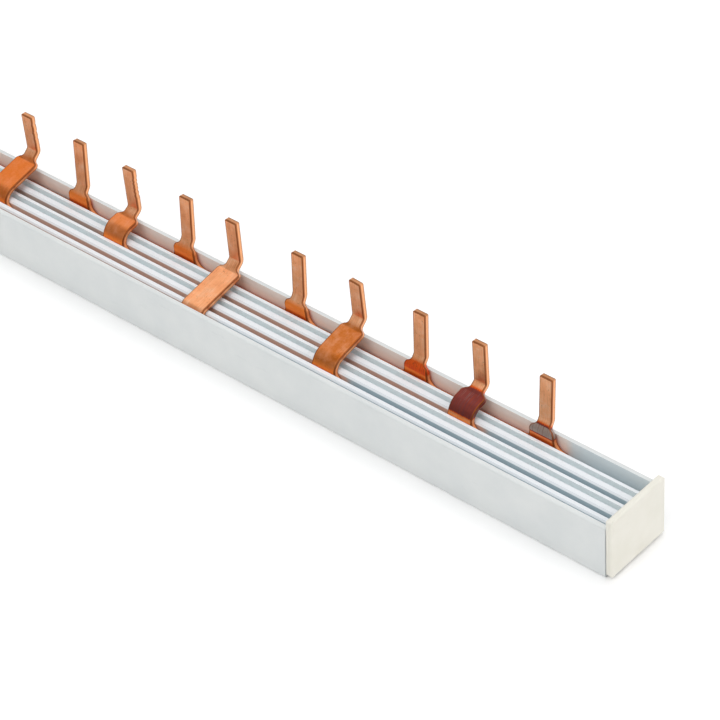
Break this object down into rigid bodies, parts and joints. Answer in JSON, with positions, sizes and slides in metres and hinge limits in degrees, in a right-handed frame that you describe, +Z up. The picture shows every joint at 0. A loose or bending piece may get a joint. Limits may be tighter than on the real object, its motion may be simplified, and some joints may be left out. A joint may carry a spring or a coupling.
{
  "type": "comb busbar",
  "caption": "Pin-type comb busbar: stamped copper combs in a slotted plastic tray with end caps, feeding a row of circuit breakers.",
  "frame": {"origin": "middle of the tray's flat underside", "axes": "+X along the bar towards the end whose last blade is neutral, +Y to the back towards the row of blades, +Z up the way the blades point"},
  "size_m": [0.2572, 0.0193, 0.0288],
  "materials": {
    "grey_plastic": "extruded, satin",
    "copper": "bare, slightly tarnished",
    "cream_plastic": "moulded, satin"
  },
  "bodies": {
    "root": {"insulating_profile": "grey_plastic", "neutral_comb": "copper", "phase_1_comb": "copper", "phase_2_comb": "copper", "phase_3_comb": "copper", "right_end_cap": "cream_plastic", "left_end_cap": "cream_plastic"}
  },
  "joints": []
}
